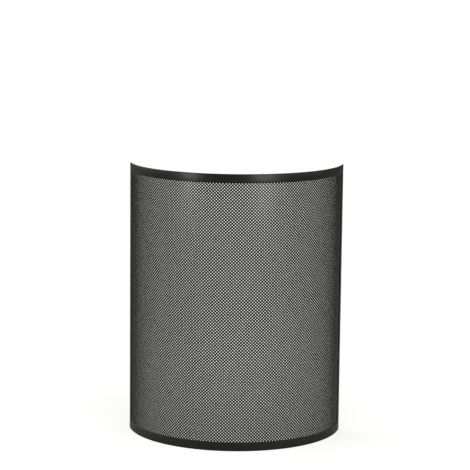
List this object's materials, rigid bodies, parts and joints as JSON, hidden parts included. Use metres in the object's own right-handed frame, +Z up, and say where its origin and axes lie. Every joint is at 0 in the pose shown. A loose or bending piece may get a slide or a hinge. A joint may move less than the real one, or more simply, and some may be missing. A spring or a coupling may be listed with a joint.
{
  "type": "fireplace screen",
  "caption": "Free-standing spark guard: a finely perforated sheet rolled to just under a half circle, behind a frame of flat bar, satin black.",
  "frame": {"origin": "middle of the footprint's bounding box, on the floor the screen stands on", "axes": "+Z up; the screen bulges towards -Y, its front, and is open towards +Y, the fire; +X is to the right as seen from the front"},
  "size_m": [0.4932, 0.2094, 0.63],
  "materials": {
    "bar_paint": "satin black powder coat on steel flat bar",
    "sheet_paint": "satin black powder coat on perforated steel sheet"
  },
  "bodies": {
    "root": {"perforated_sheet": "sheet_paint", "top_hoop": "bar_paint", "bottom_hoop": "bar_paint", "left_upright": "bar_paint", "right_upright": "bar_paint"}
  },
  "joints": []
}
